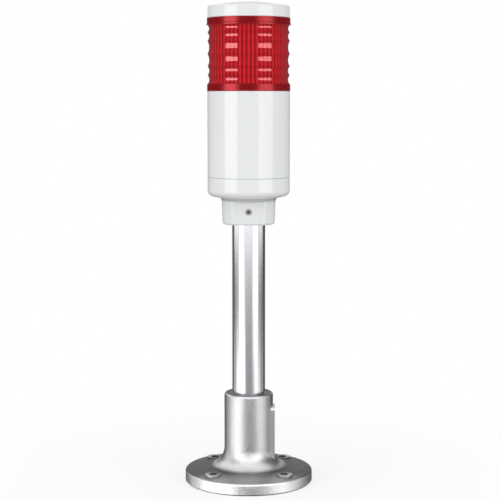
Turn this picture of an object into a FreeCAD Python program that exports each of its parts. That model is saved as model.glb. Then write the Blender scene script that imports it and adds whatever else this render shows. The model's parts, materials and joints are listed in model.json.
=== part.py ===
import FreeCAD, Part
import math
import os
import re
import Sketcher
from FreeCAD import Placement, Rotation, Vector

# A one-tier stack light on a pole: a cast foot, a steel pole, and a head made of a lower
# cover, a body, a red lens and a cap. Millimetres. The origin is the bottom centre of the
# foot, +Z runs up the pole, and the head's front set screw faces -Y.

SIZES = {
    # pole
    "pole_diameter": 22.5,
    "pole_wall": 1.5,
    "pole_exposed": 116.5,
    "pole_bevel": 0.4,
    "socket_clearance": 0.1,
    # foot
    "flange_diameter": 87.5,
    "flange_height": 8.0,
    "flange_crown": 3.2,
    "flange_rounding": 1.5,
    "foot_height": 61.5,
    "stem_wall": 5.4,
    "stem_rounding": 1.5,
    "flare_radius": 14.0,
    "socket_floor": 12.0,
    "cable_hole": 16.0,
    "bolt_inset": 9.75,
    "bolt_hole": 5.5,
    "boss_diameter": 11.0,
    "boss_rise": 1.9,
    "core_depth": 4.5,
    "core_margin": 5.5,
    "rib_width": 2.5,
    "pad_width": 14.0,
    "pad_rise": 1.2,
    "pad_drop": 9.0,
    "foot_screw": 5.0,
    "foot_screw_length": 6.0,
    "foot_screw_drop": 21.0,
    # head, as a whole
    "body_diameter": 56.0,
    "shell_wall": 2.2,
    "seam_bevel": 0.3,
    "seam_gap": 0.35,
    "seam_depth": 0.9,
    "joint_clearance": 0.15,
    # lower cover
    "collar_height": 17.2,
    "collar_wall": 6.45,
    "collar_draft": 0.7,
    "collar_depth": 22.0,
    "collar_rounding": 1.5,
    "collar_flare": 2.4,
    "flat_cut": 3.25,
    "flat_rounding": 1.0,
    "cone_angle": 16.0,
    "cover_rounding": 4.2,
    "cover_height": 32.1,
    "cover_spigot": 5.0,
    "collar_screw": 4.0,
    "collar_screw_length": 2.5,
    "collar_screw_height": 9.0,
    # body
    "body_height": 57.7,
    "deck_thickness": 2.5,
    "rim_height": 3.2,
    "tie_inset": 9.0,
    "tie_screw": 3.0,
    "rail_grip": 1.6,
    # lens
    "lens_height": 48.7,
    "lens_proud": 0.1,
    "lens_band": 4.6,
    "flute_1": 6.0,
    "flute_2": 5.9,
    "flute_3": 8.2,
    "flute_4": 8.7,
    "flute_5": 5.7,
    "flute_6": 4.7,
    "flute_depth": 1.05,
    "ridge_inset": 0.3,
    "lip_proud": 0.4,
    "lens_wall": 3.1,
    "lens_rib": 0.8,
    "lens_rib_count": 60,
    # cap
    "cap_side": 8.15,
    "cap_draft": 0.25,
    "cap_rounding": 1.3,
    "cap_land": 2.3,
    "dome_rise": 2.65,
    # lamps and boards
    "sheet_thickness": 1.6,
    "tower_side": 20.0,
    "tower_height": 40.0,
    "lamp_side": 5.0,
    "lamp_height": 1.5,
    "lamp_pitch": 8.0,
    "control_side": 44.0,
    "control_offset": 3.0,
}

# Heights and radii that follow from the sizes above.
DERIVED = {
    "pole_radius": "pole_diameter / 2",
    "pole_bore": "pole_radius - pole_wall",
    "socket_radius": "pole_radius + socket_clearance",
    "pole_length": "foot_height - socket_floor + pole_exposed + collar_depth",
    "flange_radius": "flange_diameter / 2",
    "stem_radius": "socket_radius + stem_wall",
    "bolt_radius": "flange_radius - bolt_inset",
    "hub_radius": "stem_radius + 2.7",
    "core_radius": "flange_radius - core_margin",
    "pad_face": "stem_radius + pad_rise",
    "collar_bottom": "foot_height + pole_exposed",
    "collar_top": "collar_bottom + collar_height",
    "collar_radius": "socket_radius + collar_wall",
    "collar_stop": "collar_bottom + collar_depth",
    "flat_face": "collar_radius - flat_cut",
    "body_radius": "body_diameter / 2",
    "neck_radius": "collar_radius + collar_draft",
    "cone_rise": "(body_radius - neck_radius) * tan(cone_angle)",
    "seam": "collar_bottom + cover_height",
    "shell_bore": "body_radius - shell_wall",
    "cover_spigot_radius": "shell_bore - joint_clearance",
    "cover_bore": "cover_spigot_radius - 3.2",
    "lens_bottom": "seam + body_height",
    "lens_top": "lens_bottom + lens_height",
    "lens_radius": "body_radius + lens_proud",
    "ridge_radius": "lens_radius - ridge_inset",
    "lens_bore": "lens_radius - lens_wall",
    "lens_mouth": "lens_bore + 0.6",
    "rim_radius": "lens_mouth - joint_clearance",
    "rim_bore": "rim_radius - 2.65",
    "deck_bottom": "lens_bottom - deck_thickness",
    "tie_radius": "body_radius - tie_inset",
    "tie_length": "lens_top + 3.5 - deck_bottom",
    "board_screw_radius": "tie_radius - 2",
    "flutes_from": "lens_bottom + lens_band",
    "shoulder": "lens_top + cap_side",
    "shoulder_radius": "lens_radius - cap_draft",
    "dome_radius": "shoulder_radius - cap_rounding - cap_land",
    "board_level": "lens_bottom + sheet_thickness",
    "tower_top": "board_level + tower_height",
    "control_top": "deck_bottom - 0.2",
    "control_bottom": "control_top - control_side",
    "control_face": "control_offset - sheet_thickness / 2",
}

SEAL = 1.1  # cord of the three seals, in a groove with a hair of room at both sides


doc = FreeCAD.newDocument("StackLight")
sheet = doc.addObject("Spreadsheet::Sheet", "Sizes")
for row, (name, size) in enumerate(SIZES.items(), start=1):
    sheet.set(f"A{row}", name)
    sheet.set(f"B{row}", str(size))
    sheet.setAlias(f"B{row}", name)
doc.recompute()


def full(formula):
    """The formula with every named size pointing at its cell in the sheet."""

    def cell(match):
        word = match.group(0)
        if word in DERIVED:
            return "(" + full(DERIVED[word]) + ")"
        return "Sizes." + word if word in SIZES else word

    return re.sub(r"[a-z][a-z_0-9]*", cell, str(formula))


def size(formula):
    """The value of a formula, read from the sheet."""
    return float(sheet.evalExpression(full(formula)))


def plane_of(body, role):
    """One of the body's own origin planes or axes."""
    return next(f for f in body.Origin.OriginFeatures if f.Role == role)


def new_body(label):
    return doc.addObject("PartDesign::Body", label)


def new_sketch(body, name, role, level="0"):
    """An empty sketch on one of the body's own planes, moved along its normal."""
    sketch = body.newObject("Sketcher::SketchObject", name)
    sketch.AttachmentSupport = [(plane_of(body, role), "")]
    sketch.MapMode = "FlatFace"
    sketch.setExpression("AttachmentOffset.Base.z", full(level))
    return sketch


def pin(sketch, geometry, point, x, y):
    """Hold one point of the sketch at x, y from its origin."""
    for kind, formula in (("DistanceX", x), ("DistanceY", y)):
        row = sketch.addConstraint(
            Sketcher.Constraint(kind, -1, 1, geometry, point, size(formula))
        )
        if re.search("[a-z]", formula):
            sketch.setExpression(f"Constraints[{row}]", full(formula))


def loop(sketch, corners):
    """A closed loop through corners (x, y). A third item is the depth of an arc that bows
    to the left of the way from this corner to the next, or to the right if it's negative.
    With a fourth item, the arc's centre is held on the vertical axis."""
    spots = [Vector(size(c[0]), size(c[1]), 0) for c in corners]
    count = len(corners)
    ends = []
    for i, corner in enumerate(corners):
        a, b = spots[i], spots[(i + 1) % count]
        if len(corner) < 3:
            ends.append((sketch.addGeometry(Part.LineSegment(a, b), False), 1, 2))
            continue
        across = Vector(a.y - b.y, b.x - a.x, 0).normalize()
        middle = (a + b) * 0.5 + across * size(corner[2])
        row = sketch.addGeometry(Part.Arc(a, middle, b), False)
        forward = sketch.getPoint(row, 1).distanceToPoint(a) < 1e-6
        ends.append((row, 1, 2) if forward else (row, 2, 1))
        if len(corner) == 4:
            sketch.addConstraint(Sketcher.Constraint("PointOnObject", row, 3, -2))
            continue
        half, depth = f"(({c_length(corner, corners[(i + 1) % count])}) / 2)", corner[2]
        radius = f"({half} ^ 2 + ({depth}) ^ 2) / (2 * abs({depth}))"
        rule = sketch.addConstraint(Sketcher.Constraint("Radius", row, size(radius)))
        sketch.setExpression(f"Constraints[{rule}]", full(radius))
    for i in range(count):
        this, after = ends[i], ends[(i + 1) % count]
        sketch.addConstraint(
            Sketcher.Constraint("Coincident", this[0], this[2], after[0], after[1])
        )
        pin(sketch, this[0], this[1], corners[i][0], corners[i][1])


def c_length(a, b):
    """A formula for the distance between two corners."""
    return f"sqrt((({b[0]}) - ({a[0]})) ^ 2 + (({b[1]}) - ({a[1]})) ^ 2)"


def ring(sketch, x, y, radius):
    """A full circle."""
    centre = Vector(size(x), size(y), 0)
    row = sketch.addGeometry(
        Part.Circle(centre, Vector(0, 0, 1), size(radius)), False
    )
    rule = sketch.addConstraint(Sketcher.Constraint("Radius", row, size(radius)))
    sketch.setExpression(f"Constraints[{rule}]", full(radius))
    pin(sketch, row, 3, x, y)


def box(sketch, x0, x1, y0, y1):
    loop(sketch, [(x0, y0), (x1, y0), (x1, y1), (x0, y1)])


def turned(body, corners, name="Turned"):
    """A body of revolution about Z from its half outline."""
    sketch = new_sketch(body, name + "Outline", "XZ_Plane")
    loop(sketch, corners)
    made = body.newObject("PartDesign::Revolution", name)
    made.Profile = sketch
    made.ReferenceAxis = (sketch, ["V_Axis"])
    made.Angle = 360
    doc.recompute()
    return made


def raised(body, sketch, length, name, back=False):
    """Material added along the sketch's normal."""
    made = body.newObject("PartDesign::Pad", name)
    made.Profile = sketch
    made.setExpression("Length", full(length))
    made.Reversed = back
    doc.recompute()
    return made


def sunk(body, sketch, length, name, back=False):
    """Material taken away against the sketch's normal, or along it."""
    made = body.newObject("PartDesign::Pocket", name)
    made.Profile = sketch
    made.setExpression("Length", full(length))
    made.Reversed = back
    doc.recompute()
    return made


def repeated(body, features, count, name):
    """The features repeated evenly round the body's Z axis."""
    made = body.newObject("PartDesign::PolarPattern", name)
    made.Originals = features
    made.Axis = (plane_of(body, "Z_Axis"), [""])
    made.Angle = 360
    made.Occurrences = int(count)
    body.Tip = made
    doc.recompute()
    return made


def edges_of(shape, kind="Part::Geom"):
    """(name, edge) for each edge of one kind of curve, or for every edge."""
    for i, edge in enumerate(shape.Edges, start=1):
        if not edge.Degenerated and edge.Curve.TypeId.startswith(kind):
            yield f"Edge{i}", edge


def rings_at(shape, radius, height):
    """The names of the circular edges about Z with this radius at this height."""
    found = []
    for name, edge in edges_of(shape, "Part::GeomCircle"):
        curve = edge.Curve
        near = abs(curve.Radius - size(radius)) < 1e-4
        level = abs(curve.Center.z - size(height)) < 1e-4
        if near and level and math.hypot(curve.Center.x, curve.Center.y) < 1e-4:
            found.append(name)
    return found


def edges_round(shape, height, beyond):
    """The names of the edges at that height whose middles lie beyond that radius."""
    found = []
    for name, edge in edges_of(shape):
        middle = edge.valueAt((edge.FirstParameter + edge.LastParameter) / 2)
        if (abs(middle.z - size(height)) < 0.01
                and math.hypot(middle.x, middle.y) > size(beyond)):
            found.append(name)
    return found


def edges_where(shape, test):
    """The names of the straight edges whose middle and direction pass the test."""
    found = []
    for name, edge in edges_of(shape, "Part::GeomLine"):
        middle = edge.valueAt((edge.FirstParameter + edge.LastParameter) / 2)
        if test(middle, edge.Curve.Direction):
            found.append(name)
    return found


def eased(body, edges, radius, name):
    """A fillet on edges of the body's last feature."""
    base = body.Tip
    made = body.newObject("PartDesign::Fillet", name)
    made.Base = (base, edges)
    made.setExpression("Radius", full(radius))
    doc.recompute()
    return made


def bevelled(body, edges, width, name):
    """A chamfer on edges of the body's last feature."""
    base = body.Tip
    made = body.newObject("PartDesign::Chamfer", name)
    made.Base = (base, edges)
    made.setExpression("Size", full(width))
    doc.recompute()
    return made


def copies(label, source, places):
    """One node made of copies of a body, each at its own place."""
    links = []
    for i, place in enumerate(places):
        link = doc.addObject("App::Link", f"{label}_copy_{i}")
        link.LinkedObject = source
        link.LinkTransform = False
        link.Placement = place
        links.append(link)
    group = doc.addObject("Part::Compound", label)
    group.Links = links
    doc.recompute()
    return group


def about_z(angle, x=0.0, y=0.0, z=0.0):
    """A place at x, y, z, then turned about the pole's axis."""
    turn = Rotation(Vector(0, 0, 1), angle)
    return Placement(turn.multVec(Vector(x, y, z)), turn)


# ---------------------------------------------------------------- foot and pole

foot = new_body("pole_foot")
turned(foot, [
    ("cable_hole / 2", "0"),
    ("flange_radius - 0.8", "0"),
    ("flange_radius", "0.8"),
    ("flange_radius", "flange_height"),
    ("stem_radius", "flange_height + flange_crown"),
    ("stem_radius", "foot_height"),
    ("socket_radius + 0.5", "foot_height"),
    ("socket_radius", "foot_height - 0.5"),
    ("socket_radius", "socket_floor"),
    ("cable_hole / 2", "socket_floor"),
])
eased(foot, rings_at(foot.Shape, "stem_radius", "flange_height + flange_crown"),
      "flare_radius", "Flare")
eased(foot, rings_at(foot.Shape, "flange_radius", "flange_height"),
      "flange_rounding", "FlangeEdge")
eased(foot, rings_at(foot.Shape, "stem_radius", "foot_height"),
      "stem_rounding", "StemEdge")

sketch = new_sketch(foot, "Boss", "XY_Plane", "flange_height - 2")
ring(sketch, "bolt_radius * cos(45)", "bolt_radius * sin(45)", "boss_diameter / 2")
boss = raised(foot, sketch, "2 + boss_rise", "BossPad")
repeated(foot, [boss], 4, "Bosses")

sketch = new_sketch(foot, "Core", "XY_Plane")
ring(sketch, "0", "0", "core_radius")
ring(sketch, "0", "0", "hub_radius")
sunk(foot, sketch, "core_depth", "CorePocket", back=True)

sketch = new_sketch(foot, "CoreBoss", "XY_Plane")
ring(sketch, "bolt_radius * cos(45)", "bolt_radius * sin(45)", "boss_diameter / 2 + 0.5")
core_boss = raised(foot, sketch, "core_depth + 0.5", "CoreBossPad")
repeated(foot, [core_boss], 4, "CoreBosses")

sketch = new_sketch(foot, "Rib", "XY_Plane")
box(sketch, "hub_radius - 1", "core_radius + 1", "-rib_width / 2", "rib_width / 2")
rib = raised(foot, sketch, "core_depth + 0.5", "RibPad")
repeated(foot, [rib], 4, "Ribs")

sketch = new_sketch(foot, "ScrewPad", "YZ_Plane", "stem_radius - 3.3")
box(sketch, "-pad_width / 2", "pad_width / 2",
    "socket_floor + 2", "foot_height - pad_drop")
raised(foot, sketch, "3.3 + pad_rise", "ScrewPadPad")
eased(foot, edges_where(foot.Shape, lambda m, d: abs(d.x) > 0.99
      and abs(m.z - size("foot_height - pad_drop")) < 0.01), "3", "ScrewPadCorners")

sketch = new_sketch(foot, "BoltHole", "XY_Plane", "flange_height + boss_rise")
for k in range(4):
    angle = 45 + 90 * k
    ring(sketch, f"bolt_radius * cos({angle})", f"bolt_radius * sin({angle})",
         "bolt_hole / 2")
doc.recompute()
hole = foot.newObject("PartDesign::Hole", "BoltHoles")
hole.Profile = sketch
hole.setExpression("Diameter", full("bolt_hole"))
hole.DepthType = "ThroughAll"
doc.recompute()

sketch = new_sketch(foot, "FootScrewHole", "YZ_Plane", "pad_face + 0.5")
ring(sketch, "0", "foot_height - foot_screw_drop", "foot_screw / 2")
sunk(foot, sketch, "pad_face + 0.5 - socket_radius + 1", "FootScrewBore")

pole = new_body("pole")
turned(pole, [
    ("pole_bore + pole_bevel", "socket_floor"),
    ("pole_radius - pole_bevel", "socket_floor"),
    ("pole_radius", "socket_floor + pole_bevel"),
    ("pole_radius", "collar_stop - pole_bevel"),
    ("pole_radius - pole_bevel", "collar_stop"),
    ("pole_bore + pole_bevel", "collar_stop"),
    ("pole_bore", "collar_stop - pole_bevel"),
    ("pole_bore", "socket_floor + pole_bevel"),
])


def grub_screw(name, diameter, length, hex_across, hex_depth):
    """A headless screw along +X from its cup point at the origin, with a hex socket."""
    body = new_body(name)
    sketch = new_sketch(body, name + "Round", "YZ_Plane")
    ring(sketch, "0", "0", f"{diameter} / 2 - 0.05")
    raised(body, sketch, length, name + "Shank")
    ends = [edge for edge, _ in edges_of(body.Shape, "Part::GeomCircle")]
    bevelled(body, ends, "0.35", name + "Ends")
    sketch = new_sketch(body, name + "Hex", "YZ_Plane", length)
    corner = f"({hex_across} / (2 * cos(30)))"
    loop(sketch, [(f"{corner} * cos({60 * k})", f"{corner} * sin({60 * k})")
                  for k in range(6)])
    sunk(body, sketch, hex_depth, name + "Socket")
    return body


foot_grub = grub_screw("foot_grub", "foot_screw", "foot_screw_length", "2.5", "2.5")
foot_set_screw = copies("foot_set_screw", foot_grub, [
    Placement(Vector(size("pole_radius") + 0.02, 0, size("foot_height - foot_screw_drop")),
              Rotation())])

# ---------------------------------------------------------------- lower cover

cover = new_body("lower_cover")
turned(cover, [
    ("socket_radius + 0.6", "collar_bottom"),
    ("collar_radius", "collar_bottom"),
    ("neck_radius", "collar_top"),
    ("body_radius", "collar_top + cone_rise"),
    ("body_radius", "seam - seam_gap - seam_bevel / 2"),
    ("body_radius - seam_bevel / 2", "seam - seam_gap"),
    ("body_radius - seam_depth", "seam - seam_gap"),
    ("body_radius - seam_depth", "seam"),
    ("cover_spigot_radius", "seam"),
    ("cover_spigot_radius", "seam + 1.6"),
    (f"shell_bore - {SEAL}", "seam + 1.6"),
    (f"shell_bore - {SEAL}", "seam + 3"),
    ("cover_spigot_radius", "seam + 3"),
    ("cover_spigot_radius", "seam + cover_spigot - 0.5"),
    ("cover_spigot_radius - 0.5", "seam + cover_spigot"),
    ("cover_bore", "seam + cover_spigot"),
    ("cover_bore", "collar_top + cone_rise + 3.4"),
    ("socket_radius + 3", "collar_top + cone_rise + 0.6"),
    ("socket_radius + 3", "collar_stop + 2"),
    ("pole_bore - 1.2", "collar_stop + 2"),
    ("pole_bore - 1.2", "collar_stop"),
    ("socket_radius", "collar_stop"),
    ("socket_radius", "collar_bottom + 0.6"),
])
eased(cover, rings_at(cover.Shape, "neck_radius", "collar_top"), "collar_flare", "Neck")
eased(cover, rings_at(cover.Shape, "body_radius", "collar_top + cone_rise"),
      "cover_rounding", "Shoulder")

sketch = new_sketch(cover, "Flat", "XY_Plane", "collar_bottom - 1")
box(sketch, "-neck_radius", "neck_radius", "-neck_radius - 4", "-flat_face")
flat = sunk(cover, sketch, "collar_height + 0.2", "FlatCut", back=True)
sketch = new_sketch(cover, "ScrewHole", "XZ_Plane", "flat_face + 1")
ring(sketch, "0", "collar_bottom + collar_screw_height", "collar_screw / 2 + 0.1")
screw_hole = sunk(cover, sketch, "flat_face + 1 - socket_radius + 1", "ScrewBore")
repeated(cover, [flat, screw_hole], 3, "FlatsAndScrewHoles")
# The collar has a slight draft, so a flat meets it in a hyperbola.
flat_edges = [edge for edge, _ in edges_of(cover.Shape, "Part::GeomHyperbola")]
eased(cover, flat_edges, "flat_rounding", "FlatEdges")
eased(cover, edges_round(cover.Shape, "collar_bottom", "flat_face - 0.1"),
      "collar_rounding", "CollarEdge")

collar_grub = grub_screw("collar_grub", "collar_screw", "collar_screw_length", "2", "1.4")
collar_set_screws = copies("collar_set_screws", collar_grub, [
    about_z(-90 + 120 * k, size("pole_radius") + 0.02, 0,
            size("collar_bottom + collar_screw_height")) for k in range(3)])

pole_bush = new_body("pole_bush")
turned(pole_bush, [
    ("pole_bore - 3.2", "collar_stop - 1.5"),
    ("pole_bore - 0.3", "collar_stop - 1.5"),
    ("pole_bore - 0.3", "collar_stop"),
    ("pole_bore - 1.3", "collar_stop"),
    ("pole_bore - 1.3", "collar_stop + 2"),
    ("pole_bore + 0.7", "collar_stop + 2"),
    ("pole_bore + 0.7", "collar_stop + 3.2"),
    ("pole_bore - 3.2", "collar_stop + 3.2"),
])

# ---------------------------------------------------------------- body

body = new_body("body_housing")
turned(body, [
    ("shell_bore", "seam"),
    ("body_radius - seam_bevel / 2", "seam"),
    ("body_radius", "seam + seam_bevel / 2"),
    ("body_radius", "lens_bottom - seam_bevel"),
    ("body_radius - seam_bevel", "lens_bottom"),
    ("rim_radius", "lens_bottom"),
    ("rim_radius", "lens_bottom + 0.9"),
    (f"lens_mouth - {SEAL}", "lens_bottom + 0.9"),
    (f"lens_mouth - {SEAL}", "lens_bottom + 2.2"),
    ("rim_radius", "lens_bottom + 2.2"),
    ("rim_radius", "lens_bottom + rim_height"),
    ("rim_bore", "lens_bottom + rim_height"),
    ("rim_bore", "lens_bottom"),
    ("4", "lens_bottom"),
    ("4", "deck_bottom"),
    ("shell_bore", "deck_bottom"),
])
sketch = new_sketch(body, "Rails", "XY_Plane", "control_bottom - 4")
slot = "sheet_thickness / 2 + 0.1"
for side in (1, -1):
    for lip in (1, -1):
        box(sketch,
            f"{side} * (control_side / 2 - rail_grip)", f"{side} * (shell_bore + 0.8)",
            f"control_offset + {lip} * ({slot})", f"control_offset + {lip} * ({slot} + 1.6)")
raised(body, sketch, "deck_bottom - control_bottom + 4.5", "RailPads")

sketch = new_sketch(body, "DeckHoles", "XY_Plane", "lens_bottom + 1")
for angle in (45, 225):
    ring(sketch, f"tie_radius * cos({angle})", f"tie_radius * sin({angle})",
         "tie_screw / 2 + 0.2")
for angle in (135, 315):
    ring(sketch, f"board_screw_radius * cos({angle})", f"board_screw_radius * sin({angle})",
         "1.25")
sunk(body, sketch, "deck_thickness + 2", "DeckBores")

# ---------------------------------------------------------------- lens and cap

ridges = ["flutes_from" + "".join(f" + flute_{i}" for i in range(1, k + 1))
          for k in range(7)]
lens = new_body("lens")
turned(lens, [
    ("lens_mouth", "lens_bottom"),
    ("lens_radius - seam_bevel", "lens_bottom"),
    ("lens_radius", "lens_bottom + seam_bevel"),
    ("lens_radius", ridges[0]),
    *[("ridge_radius", ridge, "flute_depth") for ridge in ridges[:-1]],
    ("ridge_radius", ridges[-1]),
    ("lens_radius + lip_proud", ridges[-1]),
    ("lens_radius + lip_proud", ridges[-1] + " + 0.9"),
    ("lens_radius", ridges[-1] + " + 1.3"),
    ("lens_radius", "lens_top - seam_bevel"),
    ("lens_radius - seam_bevel", "lens_top"),
    ("lens_mouth", "lens_top"),
    ("lens_mouth", "lens_top - rim_height - 0.4"),
    ("lens_bore", "lens_top - rim_height - 0.4"),
    ("lens_bore", "lens_bottom + rim_height + 0.4"),
    ("lens_mouth", "lens_bottom + rim_height + 0.4"),
])
sketch = new_sketch(lens, "LensRib", "XY_Plane", "lens_bottom + rim_height + 1.2")
half_rib = "lens_bore * sin(160 / lens_rib_count)"
loop(sketch, [
    ("lens_bore + 0.1", f"-{half_rib}"),
    ("lens_bore + 0.1", half_rib),
    ("lens_bore - lens_rib", "0"),
])
rib = raised(lens, sketch, "lens_height - 2 * rim_height - 2.4", "LensRibPad")
repeated(lens, [rib], size("lens_rib_count"), "LensRibs")

cap = new_body("top_cap")
turned(cap, [
    ("rim_bore", "lens_top - rim_height"),
    ("rim_radius", "lens_top - rim_height"),
    ("rim_radius", "lens_top - 2.2"),
    (f"lens_mouth - {SEAL}", "lens_top - 2.2"),
    (f"lens_mouth - {SEAL}", "lens_top - 0.9"),
    ("rim_radius", "lens_top - 0.9"),
    ("rim_radius", "lens_top"),
    ("lens_radius - seam_bevel", "lens_top"),
    ("lens_radius", "lens_top + seam_bevel"),
    ("shoulder_radius", "shoulder"),
    ("dome_radius", "shoulder", "-dome_rise / 4", "centred"),
    ("0", "shoulder + dome_rise"),
    ("0", "shoulder + dome_rise - shell_wall", "dome_rise / 4", "centred"),
    ("rim_bore", "shoulder - shell_wall"),
])
eased(cap, rings_at(cap.Shape, "shoulder_radius", "shoulder"), "cap_rounding", "CapEdge")
sketch = new_sketch(cap, "TieBosses", "XY_Plane", "lens_top - 2")
for angle in (45, 225):
    ring(sketch, f"tie_radius * cos({angle})", f"tie_radius * sin({angle})", "3.7")
raised(cap, sketch, "cap_side + 1.7", "TieBossPads")
sketch = new_sketch(cap, "InsertHoles", "XY_Plane", "lens_top - 2.5")
for angle in (45, 225):
    ring(sketch, f"tie_radius * cos({angle})", f"tie_radius * sin({angle})", "2.3")
sunk(cap, sketch, "7", "InsertBores", back=True)

insert = new_body("insert")
turned(insert, [("tie_screw / 2", "0"), ("2", "0"), ("2.28", "0.4"), ("2.28", "2.6"),
                ("2.05", "2.9"), ("2.05", "3.5"), ("2.28", "3.8"), ("2.28", "6"),
                ("tie_screw / 2", "6")])
cap_inserts = copies("cap_inserts", insert, [
    about_z(angle, size("tie_radius"), 0, size("lens_top") - 2) for angle in (45, 225)])


def seal(label, groove, bore, height):
    """A ring cord that lies in a groove and meets the bore round it."""
    cord = doc.addObject("Part::Torus", label)
    middle = f"(({groove}) + ({bore})) / 2"
    cord.setExpression("Radius1", full(f"{middle} * 1 mm"))
    cord.setExpression("Radius2", full(f"(({bore}) - ({groove})) * 0.48 mm"))
    cord.Placement.Base = Vector(0, 0, size(height))
    doc.recompute()
    return cord


cap_seal = seal("cap_seal", f"lens_mouth - {SEAL}", "lens_mouth", "lens_top - 1.55")
lens_seal = seal("lens_seal", f"lens_mouth - {SEAL}", "lens_mouth", "lens_bottom + 1.55")
body_seal = seal("body_seal", f"shell_bore - {SEAL}", "shell_bore", "seam + 2.3")

# ---------------------------------------------------------------- tie screws


def pan_screw(name, diameter, head, head_height, length):
    """A pan-head screw with its tip at z = length and its head below z = 0."""
    made = new_body(name)
    turned(made, [
        ("0", f"-{head_height}"), (f"{head} / 2", f"-{head_height}"), (f"{head} / 2", "0"),
        (f"{diameter} / 2 - 0.05", "0"), (f"{diameter} / 2 - 0.05", f"{length} - 0.4"),
        (f"{diameter} / 2 - 0.45", length), ("0", length),
    ])
    eased(made, rings_at(made.Shape, f"{head} / 2", f"-{head_height}"), "0.7",
          name + "Head")
    sketch = new_sketch(made, name + "Cross", "XY_Plane", f"-{head_height}")
    loop(sketch, [("0.3", "0.3"), ("0.3", "1.1"), ("-0.3", "1.1"), ("-0.3", "0.3"),
                  ("-1.1", "0.3"), ("-1.1", "-0.3"), ("-0.3", "-0.3"), ("-0.3", "-1.1"),
                  ("0.3", "-1.1"), ("0.3", "-0.3"), ("1.1", "-0.3"), ("1.1", "0.3")])
    sunk(made, sketch, "1", name + "Drive", back=True)
    return made


tie = pan_screw("tie", "tie_screw", "5.5", "2.2", "tie_length - 0.5")
tie_screws = copies("tie_screws", tie, [
    about_z(angle, size("tie_radius"), 0, size("deck_bottom") - 0.5)
    for angle in (45, 225)])
washer = new_body("washer")
turned(washer, [("tie_screw / 2 + 0.1", "-0.5"), ("3.4", "-0.5"), ("3.4", "0"),
                ("tie_screw / 2 + 0.1", "0")])
tie_washers = copies("tie_washers", washer, [
    about_z(angle, size("tie_radius"), 0, size("deck_bottom")) for angle in (45, 225)])

# ---------------------------------------------------------------- lamp tower

base_board = new_body("led_base_board")
sketch = new_sketch(base_board, "Disc", "XY_Plane", "lens_bottom")
ring(sketch, "0", "0", "rim_bore - 0.4")
ring(sketch, "0", "0", "3")
for angle in (45, 225):
    ring(sketch, f"tie_radius * cos({angle})", f"tie_radius * sin({angle})",
         "tie_screw / 2 + 0.3")
for angle in (135, 315):
    ring(sketch, f"board_screw_radius * cos({angle})", f"board_screw_radius * sin({angle})",
         "1.35")
raised(base_board, sketch, "sheet_thickness", "DiscPad")

short = pan_screw("short", "2.5", "4.5", "1.8", "sheet_thickness + deck_thickness")
base_board_screws = copies("base_board_screws", short, [
    Placement(Vector(size(f"board_screw_radius * cos({angle})"),
                     size(f"board_screw_radius * sin({angle})"),
                     size("board_level")), Rotation(Vector(1, 0, 0), 180))
    for angle in (135, 315)])


def tower_board(label, width, x, y):
    """One upright board of the lamp tower, width along x when y is its thickness."""
    board = doc.addObject("Part::Box", label)
    thin = "sheet_thickness * 1 mm"
    board.setExpression("Length", full(f"{width} * 1 mm" if x == "0" else thin))
    board.setExpression("Width", full(thin if x == "0" else f"{width} * 1 mm"))
    board.setExpression("Height", full("tower_height * 1 mm"))
    wide, deep = (width, "sheet_thickness") if x == "0" else ("sheet_thickness", width)
    board.Placement.Base = Vector(size(f"{x} - ({wide}) / 2"), size(f"{y} - ({deep}) / 2"),
                                  size("board_level"))
    doc.recompute()
    return board


middle = "(tower_side - sheet_thickness) / 2"
inner = "(tower_side - 2 * sheet_thickness)"
boards = [
    tower_board("led_board_front", "tower_side", "0", f"-{middle}"),
    tower_board("led_board_back", "tower_side", "0", middle),
    tower_board("led_board_left", inner, f"-{middle}", "0"),
    tower_board("led_board_right", inner, middle, "0"),
]

lamp = new_body("lamp")
sketch = new_sketch(lamp, "LampFoot", "YZ_Plane")
box(sketch, "-lamp_side / 2", "lamp_side / 2", "-lamp_side / 2", "lamp_side / 2")
raised(lamp, sketch, "lamp_height", "LampPad")
sketch = new_sketch(lamp, "LampWell", "YZ_Plane", "lamp_height")
ring(sketch, "0", "0", "lamp_side * 0.4")
sunk(lamp, sketch, "0.35", "LampWellPocket")
across = "lamp_side / 2 + 0.6"
leds = copies("leds", lamp, [
    about_z(90 * face, size("tower_side / 2"), side * size(across),
            size("board_level + tower_height / 2") + (row - 1.5) * size("lamp_pitch"))
    for face in range(4) for side in (-1, 1) for row in range(4)])

tower_cap = new_body("led_tower_top")
sketch = new_sketch(tower_cap, "Plate", "XY_Plane", "tower_top")
half = "(tower_side / 2 + 1.5)"
box(sketch, f"-{half}", half, f"-{half}", half)
raised(tower_cap, sketch, "1.8", "PlatePad")
sketch = new_sketch(tower_cap, "Plug", "XY_Plane", "tower_top")
half = "(tower_side / 2 - sheet_thickness - 0.1)"
box(sketch, f"-{half}", half, f"-{half}", half)
raised(tower_cap, sketch, "3", "PlugPad", back=True)
eased(tower_cap, edges_where(tower_cap.Shape, lambda m, d: abs(d.z) > 0.99
      and m.z > size("tower_top")), "2", "PlateCorners")

# ---------------------------------------------------------------- control board

control = doc.addObject("Part::Box", "control_board")
control.setExpression("Length", full("control_side * 1 mm"))
control.setExpression("Width", full("sheet_thickness * 1 mm"))
control.setExpression("Height", full("control_side * 1 mm"))
control.Placement.Base = Vector(
    -size("control_side") / 2, size("control_face"), size("control_bottom"))

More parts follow.
